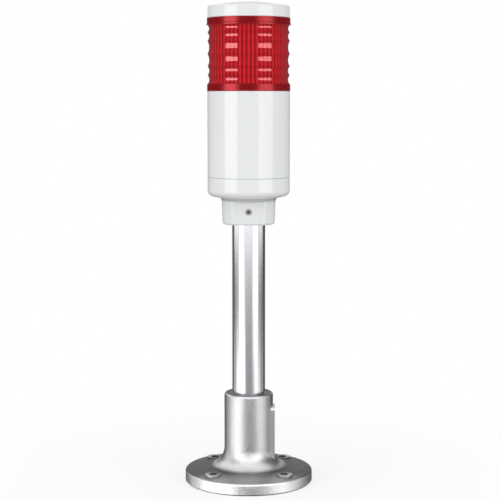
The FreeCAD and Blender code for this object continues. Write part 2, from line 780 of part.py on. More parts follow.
terminals = new_body("terminal_block")
sketch = new_sketch(terminals, "Block", "XZ_Plane", "-control_face")
box(sketch, "-15", "15", "control_bottom + 2", "control_bottom + 12")
raised(terminals, sketch, "9.5", "BlockPad")
sketch = new_sketch(terminals, "Wire", "XY_Plane", "control_bottom + 2")
box(sketch, "-14.2", "-10.8", "control_face - 4.8", "control_face - 1.4")
wire = sunk(terminals, sketch, "5", "WirePocket", back=True)
sketch = new_sketch(terminals, "Screw", "XZ_Plane", "-control_face + 9.5")
ring(sketch, "-12.5", "control_bottom + 8", "1.9")
recess = sunk(terminals, sketch, "1.6", "ScrewRecess")
row = terminals.newObject("PartDesign::LinearPattern", "Ways")
row.Originals = [wire, recess]
row.Direction = (plane_of(terminals, "X_Axis"), [""])
row.Length = 25
row.Occurrences = 6
terminals.Tip = row
doc.recompute()

clamp = new_body("clamp")
sketch = new_sketch(clamp, "ClampRound", "XZ_Plane")
ring(sketch, "0", "0", "1.8")
raised(clamp, sketch, "1.4", "ClampPad")
sketch = new_sketch(clamp, "ClampSlot", "XZ_Plane", "1.4")
box(sketch, "-1.5", "1.5", "-0.3", "0.3")
sunk(clamp, sketch, "0.7", "ClampSlotPocket")
terminal_screws = copies("terminal_screws", clamp, [
    Placement(Vector(-12.5 + 5 * k, size("control_face") - 7.9, size("control_bottom") + 8),
              Rotation()) for k in range(6)])

can = new_body("can")
sketch = new_sketch(can, "CanRound", "XZ_Plane")
ring(sketch, "0", "0", "4")
raised(can, sketch, "11.5", "CanPad")
eased(can, [name for name, edge in edges_of(can.Shape, "Part::GeomCircle")
            if edge.BoundBox.YMin < -11], "0.5", "CanEdge")
capacitors = copies("capacitors", can, [
    Placement(Vector(x, size("control_face"), size("control_bottom") + 27), Rotation())
    for x in (-14, -5)])

chip = new_body("chip")
sketch = new_sketch(chip, "ChipRound", "XZ_Plane")
box(sketch, "-2", "2", "-2.5", "2.5")
raised(chip, sketch, "1.6", "ChipPad")
driver_chips = copies("driver_chips", chip, [
    Placement(Vector(x, size("control_face"), size("control_bottom") + 26), Rotation())
    for x in (5, 11, 17)])

plug = new_body("board_socket")
sketch = new_sketch(plug, "Shell", "XZ_Plane", "-control_face")
box(sketch, "-6", "6", "control_top - 10", "control_top - 3")
raised(plug, sketch, "6", "ShellPad")
sketch = new_sketch(plug, "Mouth", "XZ_Plane", "-control_face + 6")
box(sketch, "-5", "5", "control_top - 9", "control_top - 4")
sunk(plug, sketch, "4.5", "MouthPocket")

# ---------------------------------------------------------------- check and write

NODES = [
    foot, foot_set_screw, pole, cover, collar_set_screws, pole_bush, body_seal, body,
    control, terminals, terminal_screws, capacitors, driver_chips, plug, base_board,
    base_board_screws, *boards, leds, tower_cap, tie_screws, tie_washers, lens_seal, lens,
    cap_seal, cap, cap_inserts,
]
doc.recompute()
for item in doc.Objects:
    state = " ".join(item.State)
    if "Invalid" in state or "Error" in state:
        raise RuntimeError(f"{item.Name} did not rebuild: {state}")
os.makedirs("parts", exist_ok=True)
for node in NODES:
    if node.Shape.isNull() or not node.Shape.isValid():
        raise RuntimeError(f"{node.Label} has no sound shape")
    node.Shape.exportStep(f"parts/{node.Label}.step")
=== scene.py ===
import json
import math

import bpy
import bmesh
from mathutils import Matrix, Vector


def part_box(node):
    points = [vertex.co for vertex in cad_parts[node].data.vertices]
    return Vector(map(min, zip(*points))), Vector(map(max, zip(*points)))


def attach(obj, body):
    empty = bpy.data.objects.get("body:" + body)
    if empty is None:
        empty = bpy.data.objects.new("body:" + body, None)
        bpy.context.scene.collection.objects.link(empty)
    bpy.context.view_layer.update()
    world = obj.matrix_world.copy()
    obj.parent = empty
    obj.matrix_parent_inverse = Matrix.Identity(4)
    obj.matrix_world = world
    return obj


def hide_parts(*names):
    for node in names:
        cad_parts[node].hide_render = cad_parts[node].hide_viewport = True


bl_info = {
    "name": "Stack light finishes",
    "version": (1, 0, 0),
    "blender": (4, 5, 0),
    "location": "3D View > Sidebar > Stack Light",
    "description": "Finishes, fittings and stage for a one-tier stack light on a pole",
    "category": "Object",
}

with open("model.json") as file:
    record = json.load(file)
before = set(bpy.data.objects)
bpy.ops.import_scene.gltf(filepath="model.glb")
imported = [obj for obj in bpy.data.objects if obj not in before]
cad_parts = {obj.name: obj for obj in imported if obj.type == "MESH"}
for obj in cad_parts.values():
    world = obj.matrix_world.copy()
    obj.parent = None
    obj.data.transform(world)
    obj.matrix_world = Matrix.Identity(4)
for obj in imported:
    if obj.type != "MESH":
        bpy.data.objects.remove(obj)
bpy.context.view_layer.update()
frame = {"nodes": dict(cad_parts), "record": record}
NODES = frame["nodes"]
SLOTS = {m["slot"]: m["base_color"] for m in frame["record"]["materials"]}
FOOT_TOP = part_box("pole_foot")[1].z
MM = 0.001
COLLAR_HEIGHT = 17.2 * MM
LENS_BAND = 4.6 * MM
LENS_RIBS = 60
FLANGE_RADIUS = 43.75 * MM
FLANGE_TOP = 8.0 * MM
FLANGE_SLOPE = 3.2 / 27.0
SHARP_EDGE = math.radians(35)
FLOOR_RADIUS = 0.45
FLOOR_SIDES = 96
WALL_HALF_ANGLE = math.radians(13)
SENSOR_WIDTH = 36.0
CAMERA_LENS = 100.7
BOX_HEIGHTS = (-0.12, 0.56)
LOW_BOX_HEIGHTS = (-0.7, -0.12)
BOX_REACH = 1.1
# Cards that only the metal pieces mirror. Each has a name, its azimuths in degrees from
# the front towards the right, its heights and its reach in metres, and its radiance.
METAL_CARDS = (
    ("Front low card", (-25, 42), (-0.7, 0.0), 1.3, 0.3),
    ("Front card", (-28, 24), (0.06, 0.3), 1.3, 2.9),
    ("Left side card", (-120, -72), (0.05, 0.3), 1.2, 2.2),
    ("Right side card", (70, 115), (0.05, 0.3), 1.2, 1.9),
    ("Left low side card", (-130, -94), (-0.7, -0.1), 1.2, 0.7),
    ("Right low side card", (86, 125), (-0.7, -0.1), 1.2, 0.45),
    ("Front high card", (-60, 60), (0.45, 1.4), 1.4, 2.2),
    ("Left high card", (-150, -85), (0.45, 1.2), 1.2, 1.6),
    ("Back high card", (150, 205), (0.3, 0.85), 1.2, 1.2),
)


# ---------------------------------------------------------------- properties


def colour(name, text, default):
    return bpy.props.FloatVectorProperty(
        name=name, description=text, default=tuple(default[:3]),
        subtype="COLOR", size=3, min=0.0, max=1.0)


def length(name, text, default):
    return bpy.props.FloatProperty(
        name=name, description=text, default=default, unit="LENGTH", min=0.0)


def level(name, text, default):
    return bpy.props.FloatProperty(name=name, description=text, default=default, min=0.0)


class StackLightColours(bpy.types.PropertyGroup):
    shell: colour("Shell", "Moulded cap, body and lower cover", (0.775, 0.795, 0.79))
    lens: colour("Lens", "Clear tinted plastic of the lens", (0.86, 0.010, 0.024))
    tube: colour("Tube", "Polished metal of the pole", (0.61, 0.615, 0.64))
    casting: colour("Casting", "Cast metal of the foot", (0.47, 0.47, 0.48))
    screw: colour("Set screws", "Blackened steel of the set screws", (0.34, 0.31, 0.3))


class StackLightStage(bpy.types.PropertyGroup):
    camera_distance: length("Camera distance", "From the pole's axis", 0.95)
    camera_height: length("Camera height", "Above the floor", 0.262)
    camera_side: length("Camera side step", "To the right of the axis", 0.9 * MM)
    aim_height: length("Aim height", "Where the camera looks, on the axis", 0.16)
    box_level: level("Softboxes", "Radiance of the two side softboxes", 2.4)
    room_level: level("Room", "Even light from the sides and above", 1.0)
    floor_level: level("Room's floor", "Even light from below", 0.5)
    mirrored_room: level(
        "Mirrored room", "The room where plastic and metal mirror it", 0.06)


# ---------------------------------------------------------------- material nodes


class Graph:
    """Short ways to add linked nodes to a shader tree."""

    def __init__(self, tree):
        self.tree = tree

    def link(self, value, socket):
        if isinstance(value, bpy.types.NodeSocket):
            self.tree.links.new(value, socket)
        elif isinstance(value, tuple) and socket.type == "RGBA":
            socket.default_value = (*value[:3], 1.0)
        else:
            socket.default_value = value

    def add(self, kind, inputs=None, **settings):
        node = self.tree.nodes.new(kind)
        for key, value in settings.items():
            setattr(node, key, value)
        for key, value in (inputs or {}).items():
            self.link(value, node.inputs[key])
        return node

    def maths(self, operation, a, b=0.0):
        return self.add("ShaderNodeMath", {0: a, 1: b}, operation=operation).outputs[0]

    def between(self, factor, low, high, start=0.0, end=1.0, smooth=False):
        """A number that goes from low to high as the factor goes from start to end."""
        node = self.add(
            "ShaderNodeMapRange", {
                "Value": factor, "From Min": start, "From Max": end,
                "To Min": low, "To Max": high},
            interpolation_type="SMOOTHSTEP" if smooth else "LINEAR")
        return node.outputs["Result"]

    def choose(self, factor, low, high):
        """Low where the factor is 0 and high where it is 1."""
        node = self.add("ShaderNodeMix", {0: factor, 2: low, 3: high}, data_type="FLOAT")
        return node.outputs[0]

    def ray_is(self, *kinds):
        """1 for rays of any of these kinds, such as Camera, and 0 for the rest."""
        path = self.add("ShaderNodeLightPath")
        seen = path.outputs[f"Is {kinds[0]} Ray"]
        for kind in kinds[1:]:
            seen = self.maths("MAXIMUM", seen, path.outputs[f"Is {kind} Ray"])
        return seen


class Finish(Graph):
    """A new material with one Principled shader that reads Object coordinates."""

    def __init__(self, name, **values):
        self.material = bpy.data.materials.new(name)
        self.material.use_nodes = True
        super().__init__(self.material.node_tree)
        self.shader = self.tree.nodes["Principled BSDF"]
        self.place = self.add("ShaderNodeTexCoord").outputs["Object"]
        for socket, value in values.items():
            self.link(value, self.shader.inputs[socket.replace("_", " ")])

    def into(self, socket, value):
        self.link(value, self.shader.inputs[socket])

    def part_of(self, vector, axis):
        """The vector's X, Y or Z."""
        return self.add("ShaderNodeSeparateXYZ", {0: vector}).outputs[axis]

    def from_axis(self):
        """Distance from the pole's axis."""
        flat = self.add("ShaderNodeVectorMath", {0: self.place, 1: (1.0, 1.0, 0.0)},
                        operation="MULTIPLY").outputs[0]
        return self.add("ShaderNodeVectorMath", {0: flat},
                        operation="LENGTH").outputs["Value"]

    def noise(self, scale, detail=2.0, stretch=(1, 1, 1)):
        """Noise with scale in features a metre, stretched along the axes."""
        spread = self.add("ShaderNodeMapping", {"Vector": self.place})
        spread.inputs["Scale"].default_value = stretch
        node = self.add("ShaderNodeTexNoise", {
            "Vector": spread.outputs[0], "Scale": scale, "Detail": detail})
        return node.outputs["Fac"]

    def near(self, value, centre, reach):
        """1 where the value is within reach of the centre, and 0 elsewhere."""
        node = self.add("ShaderNodeMath", {0: value, 1: centre, 2: reach},
                        operation="COMPARE")
        return node.outputs[0]

    def blend(self, factor, a, b):
        """A colour that goes from a to b as the factor goes from 0 to 1."""
        node = self.add("ShaderNodeMix", data_type="RGBA")
        for socket, value in (("Factor", factor), ("A", a), ("B", b)):
            kind = "VALUE" if socket == "Factor" else "RGBA"
            self.link(value, next(i for i in node.inputs
                                  if i.name == socket and i.type == kind))
        return next(o for o in node.outputs if o.type == "RGBA")

    def bump(self, height, strength, depth, under=None):
        """Relief from that height, on top of the relief under it."""
        inputs = {"Height": height, "Strength": strength, "Distance": depth}
        if under:
            inputs["Normal"] = under
        node = self.add("ShaderNodeBump", inputs)
        self.into("Normal", node.outputs[0])
        return node.outputs[0]


def tone(value, by):
    """The colour made lighter or darker."""
    return tuple(min(1.0, channel * by) for channel in value)


def shell_finish(base, corner):
    """Glossy moulded plastic: a faint ripple in the surface, barely uneven gloss, and
    painted shade in the corner at that height, where the collar meets the cone."""
    finish = Finish("Moulded shell", IOR=1.58)
    cloud = finish.noise(60.0, 3.0)
    unshaded = finish.blend(cloud, tone(base, 0.985), tone(base, 1.015))
    off = finish.maths("ABSOLUTE", finish.maths(
        "SUBTRACT", finish.part_of(finish.place, "Z"), corner))
    # Painted shade: darker within 2 mm of the corner where the collar meets the cone.
    corner_shade = finish.between(off, 0.42, 0.0, 0.4 * MM, 2.0 * MM, True)
    finish.into("Base Color", finish.blend(corner_shade, unshaded, tone(base, 0.3)))
    finish.into("Roughness", finish.between(finish.noise(220.0, 2.0), 0.08, 0.14))
    ripple = finish.bump(finish.noise(45.0, 1.0), 0.15, 0.0004)
    finish.bump(finish.noise(900.0, 2.0), 0.04, 0.0002, ripple)
    return finish.material


def lens_finish(base, low, high, band, ribs):
    """Tinted clear plastic whose inner face mirrors some of the light back. Light through
    the upright ribs is painted, clearer red on the ribs and deeper between them, the end
    bands are painted darker as shade, the flutes are polished, and the end bands satin."""
    finish = Finish("Tinted lens", IOR=1.58, Transmission_Weight=0.25,
                    Coat_IOR=1.6, Coat_Roughness=0.05)
    x, y, height = (finish.part_of(finish.place, axis) for axis in "XYZ")
    round_axis = finish.maths("ARCTAN2", y, x)
    wave = finish.maths("COSINE", finish.maths("MULTIPLY", round_axis, ribs))
    fluted = finish.maths(
        "MULTIPLY", finish.between(height, 0.0, 1.0, low + band, low + band * 1.1),
        finish.between(height, 1.0, 0.0, high - band * 1.1, high - band))
    # Painted light: the rib crests are painted a clearer red, for light coming through the
    # ribs.
    rib_light = finish.maths("MULTIPLY", finish.between(wave, 0.0, 1.0, -0.6, 0.8, True), fluted)
    cloud = finish.noise(80.0)
    # Painted shade: the end bands are painted darker than the fluted part.
    dark = finish.blend(cloud, tone(base, 0.5), tone(base, 0.58))
    deep = finish.blend(cloud, tone(base, 0.6), tone(base, 0.7))
    clear = finish.blend(cloud, (1.0, 0.026, 0.036), (1.0, 0.036, 0.046))
    finish.into("Base Color", finish.blend(rib_light, finish.blend(fluted, dark, deep), clear))
    finish.into("Metallic", finish.between(fluted, 0.42, 0.2))
    finish.into("Coat Weight", fluted)
    polish = finish.between(finish.noise(300.0), 0.04, 0.08)
    finish.into("Roughness", finish.maths(
        "ADD", polish, finish.between(fluted, 0.2, 0.0)))
    finish.bump(finish.noise(700.0), 0.05, 0.0002)
    return finish.material


def tube_finish(base):
    """Satin drawn tube with faint lengthwise lines."""
    finish = Finish("Drawn tube", Metallic=1.0)
    lines = finish.noise(1500.0, 3.0, (1, 1, 0.02))
    finish.into("Base Color", finish.blend(lines, tone(base, 0.95), tone(base, 1.04)))
    finish.into("Roughness", finish.between(lines, 0.2, 0.26))
    finish.bump(lines, 0.03, 0.0001)
    return finish.material


def casting_finish(base):
    """Blasted casting: grainy and bright on walls and bosses, with painted shade on top of
    the plate and of the stem, lightened by painted light at the plate's front, and painted
    light on the rim."""
    finish = Finish("Blasted casting", Metallic=1.0)
    cloud = finish.noise(110.0, 4.0)
    height = finish.part_of(finish.place, "Z")
    out = finish.from_axis()
    above = finish.maths("SUBTRACT", finish.maths(
        "ADD", height, finish.maths("MULTIPLY", out, FLANGE_SLOPE)),
        FLANGE_TOP + FLANGE_SLOPE * FLANGE_RADIUS)
    # Painted shade: the tops of the plate and of the stem are painted dark, with a random
    # mottle, and made a little rougher.
    plate = finish.maths(
        "MULTIPLY", finish.between(above, 0.0, 1.0, -0.4 * MM, -0.2 * MM),
        finish.between(above, 1.0, 0.0, 0.2 * MM, 1.4 * MM, True))
    top_shade = finish.maths("MAXIMUM", plate, finish.near(height, FOOT_TOP, 0.15 * MM))
    mottle = finish.between(finish.noise(420.0, 5.0), 0.92, 1.0, 0.35, 0.6)
    bright = finish.blend(cloud, tone(base, 0.92), tone(base, 1.06))
    # Painted light: the painted shade on the plate lightens towards its front.
    wear_and_front_light = finish.between(finish.part_of(finish.place, "Y"), 0.3, 1.0,
                          FLANGE_RADIUS * -0.82, FLANGE_RADIUS * -0.4, True)
    top_shade = finish.maths("MULTIPLY", finish.maths("MULTIPLY", top_shade, mottle), wear_and_front_light)
    # Painted light: the rim wall is painted brighter than the other walls.
    rim = finish.near(out, FLANGE_RADIUS, 0.3 * MM)
    rim_light = finish.blend(cloud, tone(base, 1.2), tone(base, 1.7))
    bright = finish.blend(rim, bright, rim_light)
    finish.into("Base Color", finish.blend(top_shade, bright, tone(base, 0.12)))
    finish.into("Roughness", finish.maths(
        "ADD", finish.between(cloud, 0.28, 0.38), finish.between(top_shade, 0.0, 0.08)))
    pits = finish.bump(finish.noise(1100.0, 4.0), 0.5, 0.0004)
    finish.bump(finish.noise(320.0, 3.0), 0.15, 0.0006, pits)
    return finish.material


def plain_finish(name, base, roughness, metallic=0.0, grain=800.0, depth=0.0001):
    """A small fitting's finish: fine grain and uneven gloss."""
    finish = Finish(name, Metallic=metallic)
    speck = finish.noise(grain, 3.0)
    finish.into("Base Color", finish.blend(speck, tone(base, 0.88), tone(base, 1.08)))
    finish.into("Roughness", finish.between(speck, roughness * 0.8, roughness * 1.25))
    finish.bump(speck, 0.2, depth)
    return finish.material


def screw_finish(base, face):
    """Worn blackened steel, painted darker in the hex socket than on the face, as shade."""
    finish = Finish("Blackened steel", Metallic=1.0)
    speck = finish.noise(800.0, 3.0)
    wear_and_front_light = finish.blend(speck, tone(base, 0.88), tone(base, 1.08))
    # Painted shade: the hex socket is painted much darker than the face.
    on_face = finish.between(finish.from_axis(), 0.0, 1.0,
                             face - 0.3 * MM, face - 0.1 * MM)
    finish.into("Base Color", finish.blend(on_face, tone(base, 0.14), wear_and_front_light))
    finish.into("Roughness", finish.between(speck, 0.28, 0.44))
    finish.bump(speck, 0.2, 0.0001)
    return finish.material


def dress(material, *names):
    """Give the CAD nodes this material in place of their plain one."""
    for name in names:
        NODES[name].data.materials.clear()
        NODES[name].data.materials.append(material)


# ---------------------------------------------------------------- repeated fittings


class Recipe(Graph):
    """A Geometry Nodes tree with named inputs for its sizes."""

    KINDS = {float: "NodeSocketFloat", int: "NodeSocketInt"}

    def __init__(self, name, sizes):
        super().__init__(bpy.data.node_groups.new(name, "GeometryNodeTree"))
        self.sizes = sizes
        self.sockets = {}
        for label, value in sizes.items():
            socket = self.tree.interface.new_socket(
                label, in_out="INPUT", socket_type=self.KINDS[type(value)])
            socket.default_value = value
            self.sockets[label] = socket.identifier
        self.tree.interface.new_socket(
            "Mesh", in_out="OUTPUT", socket_type="NodeSocketGeometry")
        self.given = self.add("NodeGroupInput").outputs

    def size(self, label, by=1.0):
        """A named size times that factor."""
        return self.maths("MULTIPLY", self.given[label], by)

    def vector(self, x=0.0, y=0.0, z=0.0):
        return self.add("ShaderNodeCombineXYZ", {"X": x, "Y": y, "Z": z}).outputs[0]

    def moved(self, mesh, place, turn=(0.0, 0.0, 0.0)):
        return self.add("GeometryNodeTransform", {
            "Geometry": mesh, "Translation": place, "Rotation": turn}).outputs[0]

    def block(self, x, y, z):
        """A block with its middle at the origin."""
        return self.add("GeometryNodeMeshCube", {"Size": self.vector(x, y, z)}).outputs[0]

    def rod(self, radius, depth, sides=32, segments=1):
        """A cylinder along Z with its middle at the origin."""
        return self.add("GeometryNodeMeshCylinder", {
            "Vertices": sides, "Side Segments": segments, "Radius": radius,
            "Depth": depth}).outputs["Mesh"]

    def cone(self, low, high, depth, sides=32):
        """A cone along Z that stands on the origin, from its low radius to its high one."""
        return self.add("GeometryNodeMeshCone", {
            "Vertices": sides, "Radius Bottom": low, "Radius Top": high,
            "Depth": depth}).outputs["Mesh"]

    def cut(self, mesh, *tools):
        """The mesh less the tools, all of them closed."""
        node = self.add("GeometryNodeMeshBoolean", {"Mesh 1": mesh}, operation="DIFFERENCE",
                        solver="MANIFOLD")
        for tool in tools:
            self.link(tool, node.inputs["Mesh 2"])
        return node.outputs["Mesh"]

    def joined(self, *meshes):
        node = self.add("GeometryNodeJoinGeometry")
        for mesh in meshes:
            self.link(mesh, node.inputs[0])
        return node.outputs[0]

    def repeated(self, mesh, count, place=(0.0, 0.0, 0.0), turn=(0.0, 0.0, 0.0)):
        """Copies of the mesh, placed and turned by functions of their index."""
        points = self.add("GeometryNodePoints", {"Count": count, "Position": place})
        return self.add("GeometryNodeInstanceOnPoints", {
            "Points": points.outputs[0], "Instance": mesh, "Rotation": turn}).outputs[0]

    def index(self):
        return self.add("GeometryNodeInputIndex").outputs[0]

    def make(self, name, mesh, material, slot, *replaced):
        """End the tree, turn its result into a plain mesh, put it under the root body and
        hide what it replaces.
        """
        solid = self.add("GeometryNodeRealizeInstances", {0: mesh}).outputs[0]
        solid = self.add("GeometryNodeSetMaterial",
                         {"Geometry": solid, "Material": material}).outputs[0]
        output = self.tree.nodes.new("NodeGroupOutput")
        self.link(solid, output.inputs[0])
        maker = bpy.data.objects.new(f"{name} maker", bpy.data.meshes.new(name))
        bpy.context.scene.collection.objects.link(maker)
        modifier = maker.modifiers.new(name, "NODES")
        modifier.node_group = self.tree
        for label, value in self.sizes.items():
            modifier[self.sockets[label]] = value
        seen = maker.evaluated_get(bpy.context.evaluated_depsgraph_get())
        plain = bpy.data.meshes.new_from_object(seen)
        bpy.data.objects.remove(maker)
        if not plain.polygons:
            raise RuntimeError(f"{name} came out empty")
        piece = bpy.data.objects.new(name, plain)
        bpy.context.scene.collection.objects.link(piece)
        shade_flat_faces(plain)
        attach(piece, "root")
        if replaced:
            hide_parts(*replaced)
        return piece


def shade_flat_faces(mesh):
    """Smooth the round faces and keep the sharp edges."""
    shape = bmesh.new()
    shape.from_mesh(mesh)
    for face in shape.faces:
        face.smooth = True
    for edge in shape.edges:
        edge.smooth = edge.is_manifold and edge.calc_face_angle(0.0) < SHARP_EDGE
    shape.to_mesh(mesh)
    shape.free()


def make_set_screws(name, sizes, slot, material, replaced):
    """Headless screws that point at the axis: thread, hex socket and cup point."""
    recipe = Recipe("Set screws", sizes)
    half = recipe.size("Length", 0.5)
    radius = recipe.size("Diameter", 0.5)
    steps_a_turn = 6.0
    segments = recipe.maths("MULTIPLY", recipe.maths(
        "DIVIDE", recipe.given["Length"], recipe.given["Pitch"]), steps_a_turn)
    shank = recipe.rod(radius, recipe.given["Length"], 36, segments)
    x, y, z = recipe.add("ShaderNodeSeparateXYZ", {
        0: recipe.add("GeometryNodeInputPosition").outputs[0]}).outputs
    turn = recipe.maths("DIVIDE", recipe.maths("ARCTAN2", y, x), math.tau)
    phase = recipe.maths("ADD", turn, recipe.maths("DIVIDE", z, recipe.given["Pitch"]))
    groove = recipe.maths("MULTIPLY", recipe.maths("PINGPONG", phase, 0.5),
                          recipe.size("Thread Depth", 2.0))
    at_end = recipe.maths("GREATER_THAN", recipe.maths("ABSOLUTE", z),
                          recipe.maths("MULTIPLY", half, 0.98))
    inward = recipe.maths("MAXIMUM", groove, recipe.maths(
        "MULTIPLY", at_end, recipe.given["Thread Depth"]))
    shrink = recipe.maths("SUBTRACT", 1.0, recipe.maths("DIVIDE", inward, radius))
    threaded = recipe.add("GeometryNodeSetPosition", {
        "Geometry": shank,
        "Position": recipe.vector(recipe.maths("MULTIPLY", x, shrink),
                                  recipe.maths("MULTIPLY", y, shrink), z)}).outputs[0]
    socket = recipe.moved(
        recipe.rod(recipe.size("Hex Across", 1 / math.sqrt(3)),
                   recipe.size("Hex Depth", 2.0), 6), recipe.vector(z=half))
    # The drill point starts just above the socket's floor, inside its flats, and the cup
    # just outside the end, so that each cuts clean through a face. They don't meet.
    drill_radius = recipe.size("Hex Across", 0.46)
    drill_depth = recipe.size("Hex Across", 0.25)
    drilled = recipe.moved(
        recipe.cone(drill_radius, 0.0, drill_depth),
        recipe.vector(z=recipe.maths("SUBTRACT", half, recipe.size("Hex Depth", 0.98))),
        (math.pi, 0.0, 0.0))
    cup_radius = recipe.size("Diameter", 0.26)
    cup_depth = recipe.size("Diameter", 0.14)
    cup = recipe.moved(recipe.cone(cup_radius, 0.0, cup_depth),
                       recipe.vector(z=recipe.maths("MULTIPLY", half, -1.02)))
    screw = recipe.cut(threaded, socket, drilled, cup)
    out = recipe.maths("SUBTRACT", recipe.given["Head Radius"], half)
    screw = recipe.moved(screw, recipe.vector(x=out, z=recipe.given["Height"]),
                         (0.0, math.pi / 2, 0.0))
    angle = recipe.maths("ADD", recipe.given["First Angle"], recipe.maths(
        "MULTIPLY", recipe.index(),
        recipe.maths("DIVIDE", math.tau, recipe.given["Count"])))
    screws = recipe.repeated(screw, recipe.given["Count"], turn=recipe.vector(z=angle))
    return recipe.make(name, screws, material, slot, replaced)


def lamp_recipe(name):
    """A recipe with a lamp's sizes and the places of all the lamps round the tower."""
    low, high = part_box("leds")
    recipe = Recipe(name, {
        "Lamp Side": 5.0 * MM, "Lamp Height": 1.5 * MM, "Well Depth": 0.35 * MM,
        "Board Face": high.x - 1.5 * MM, "Beside Middle": 3.1 * MM, "Pitch": 8.0 * MM,
        "Middle Height": (low.z + high.z) / 2, "Rows": 4, "Faces": 4})
    index = recipe.index()
    on_face = recipe.size("Rows", 2.0)
    face = recipe.maths("FLOOR", recipe.maths("DIVIDE", index, on_face))
    left = recipe.maths("MODULO", index, on_face)
    row = recipe.maths("FLOOR", recipe.maths("DIVIDE", left, 2.0))
    side = recipe.maths("SUBTRACT", recipe.maths(
        "MULTIPLY", recipe.maths("MODULO", left, 2.0), 2.0), 1.0)
    step = recipe.maths("SUBTRACT", row, recipe.maths(
        "DIVIDE", recipe.maths("SUBTRACT", recipe.given["Rows"], 1.0), 2.0))
    turn = recipe.maths("MULTIPLY", face, recipe.maths(
        "DIVIDE", math.tau, recipe.given["Faces"]))
    place = recipe.vector(
        recipe.given["Board Face"],
        recipe.maths("MULTIPLY", side, recipe.given["Beside Middle"]),
        recipe.maths("ADD", recipe.given["Middle Height"],
                     recipe.maths("MULTIPLY", step, recipe.given["Pitch"])))
    place = recipe.add("ShaderNodeVectorRotate", {"Vector": place, "Angle": turn},
                       rotation_type="Z_AXIS").outputs[0]
    recipe.places = {"count": recipe.maths("MULTIPLY", on_face, recipe.given["Faces"]),
                     "place": place, "turn": recipe.vector(z=turn)}
    return recipe


def make_lamp_packages(material):
    """Square white packages with a round well, one corner marked by a chamfer."""
    recipe = lamp_recipe("Lamp packages")
    side, tall = recipe.given["Lamp Side"], recipe.given["Lamp Height"]
    upright = (0.0, math.pi / 2, 0.0)
    body = recipe.moved(recipe.block(recipe.size("Lamp Height", 0.9),
                                     recipe.size("Lamp Side", 0.96),
                                     recipe.size("Lamp Side", 0.96)),
                        recipe.vector(x=recipe.size("Lamp Height", 0.55)))
    well = recipe.moved(
        recipe.cone(recipe.size("Lamp Side", 0.34), recipe.size("Lamp Side", 0.42),
                    recipe.size("Well Depth", 2.0)),
        recipe.vector(x=recipe.maths("SUBTRACT", tall, recipe.given["Well Depth"])),
        upright)
    mark = recipe.moved(
        recipe.block(recipe.size("Lamp Height", 3.0), recipe.size("Lamp Side", 0.2),
                     recipe.size("Lamp Side", 0.2)),
        recipe.vector(tall, recipe.size("Lamp Side", 0.5), recipe.size("Lamp Side", 0.5)),
        (math.pi / 4, 0.0, 0.0))
    lamps = recipe.repeated(recipe.cut(body, well, mark), **recipe.places)
    return recipe.make("Lamp_packages", lamps, material, "white_laminate", "leds")


def make_lamp_wells(material):
    """The clear resin in the wells, slightly domed."""
    recipe = lamp_recipe("Lamp wells")
    across = recipe.size("Lamp Side", 0.37)
    dome = recipe.add("GeometryNodeMeshUVSphere", {
        "Segments": 24, "Rings": 12, "Radius": across}).outputs["Mesh"]
    dome = recipe.add("GeometryNodeTransform", {
        "Geometry": dome, "Scale": (0.12, 1.0, 1.0),
        "Translation": recipe.vector(x=recipe.maths(
            "SUBTRACT", recipe.given["Lamp Height"], recipe.size("Well Depth", 0.8)))
        }).outputs[0]
    lamps = recipe.repeated(dome, **recipe.places)
    return recipe.make("Lamp_wells", lamps, material, "lamp_resin")


def make_lamp_leads(material):
    """Six tinned leads a lamp, three at each end of the package."""
    recipe = lamp_recipe("Lamp leads")
    side = recipe.given["Lamp Side"]
    leads = []
    for end in (-0.475, 0.475):
        for across in (-0.3, 0.0, 0.3):
            lead = recipe.block(recipe.size("Lamp Height", 0.45),
                                recipe.size("Lamp Side", 0.16),
                                recipe.size("Lamp Side", 0.06))
            leads.append(recipe.moved(lead, recipe.vector(
                recipe.size("Lamp Height", 0.24),
                recipe.maths("MULTIPLY", side, across),
                recipe.maths("MULTIPLY", side, end))))
    lamps = recipe.repeated(recipe.joined(*leads), **recipe.places)
    return recipe.make("Lamp_leads", lamps, material, "polished_steel")


# ---------------------------------------------------------------- operators


class MaterialsOperator:
    """Shared settings of the finishing operators."""

    bl_options = {"REGISTER", "UNDO"}

    @property
    def colours(self):
        return bpy.context.scene.stack_light_colours


class STACKLIGHT_OT_shells(MaterialsOperator, bpy.types.Operator):
    """Finish the cap, the body and the lower cover"""

    bl_idname = "stacklight.shells"
    bl_label = "Finish the shells"

    def execute(self, context):
        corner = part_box("lower_cover")[0].z + COLLAR_HEIGHT
        dress(shell_finish(self.colours.shell, corner),
              "top_cap", "body_housing", "lower_cover")
        return {"FINISHED"}


class STACKLIGHT_OT_lens(MaterialsOperator, bpy.types.Operator):
    """Finish the lens"""

    bl_idname = "stacklight.lens"
    bl_label = "Finish the lens"

    def execute(self, context):
        low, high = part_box("lens")
        dress(lens_finish(self.colours.lens, low.z, high.z, LENS_BAND, LENS_RIBS), "lens")
        return {"FINISHED"}


class STACKLIGHT_OT_pole(MaterialsOperator, bpy.types.Operator):
    """Finish the tube and the cast foot"""

    bl_idname = "stacklight.pole"
    bl_label = "Finish the tube and foot"

    def execute(self, context):
        dress(tube_finish(self.colours.tube), "pole")
        dress(casting_finish(self.colours.casting), "pole_foot")
        return {"FINISHED"}


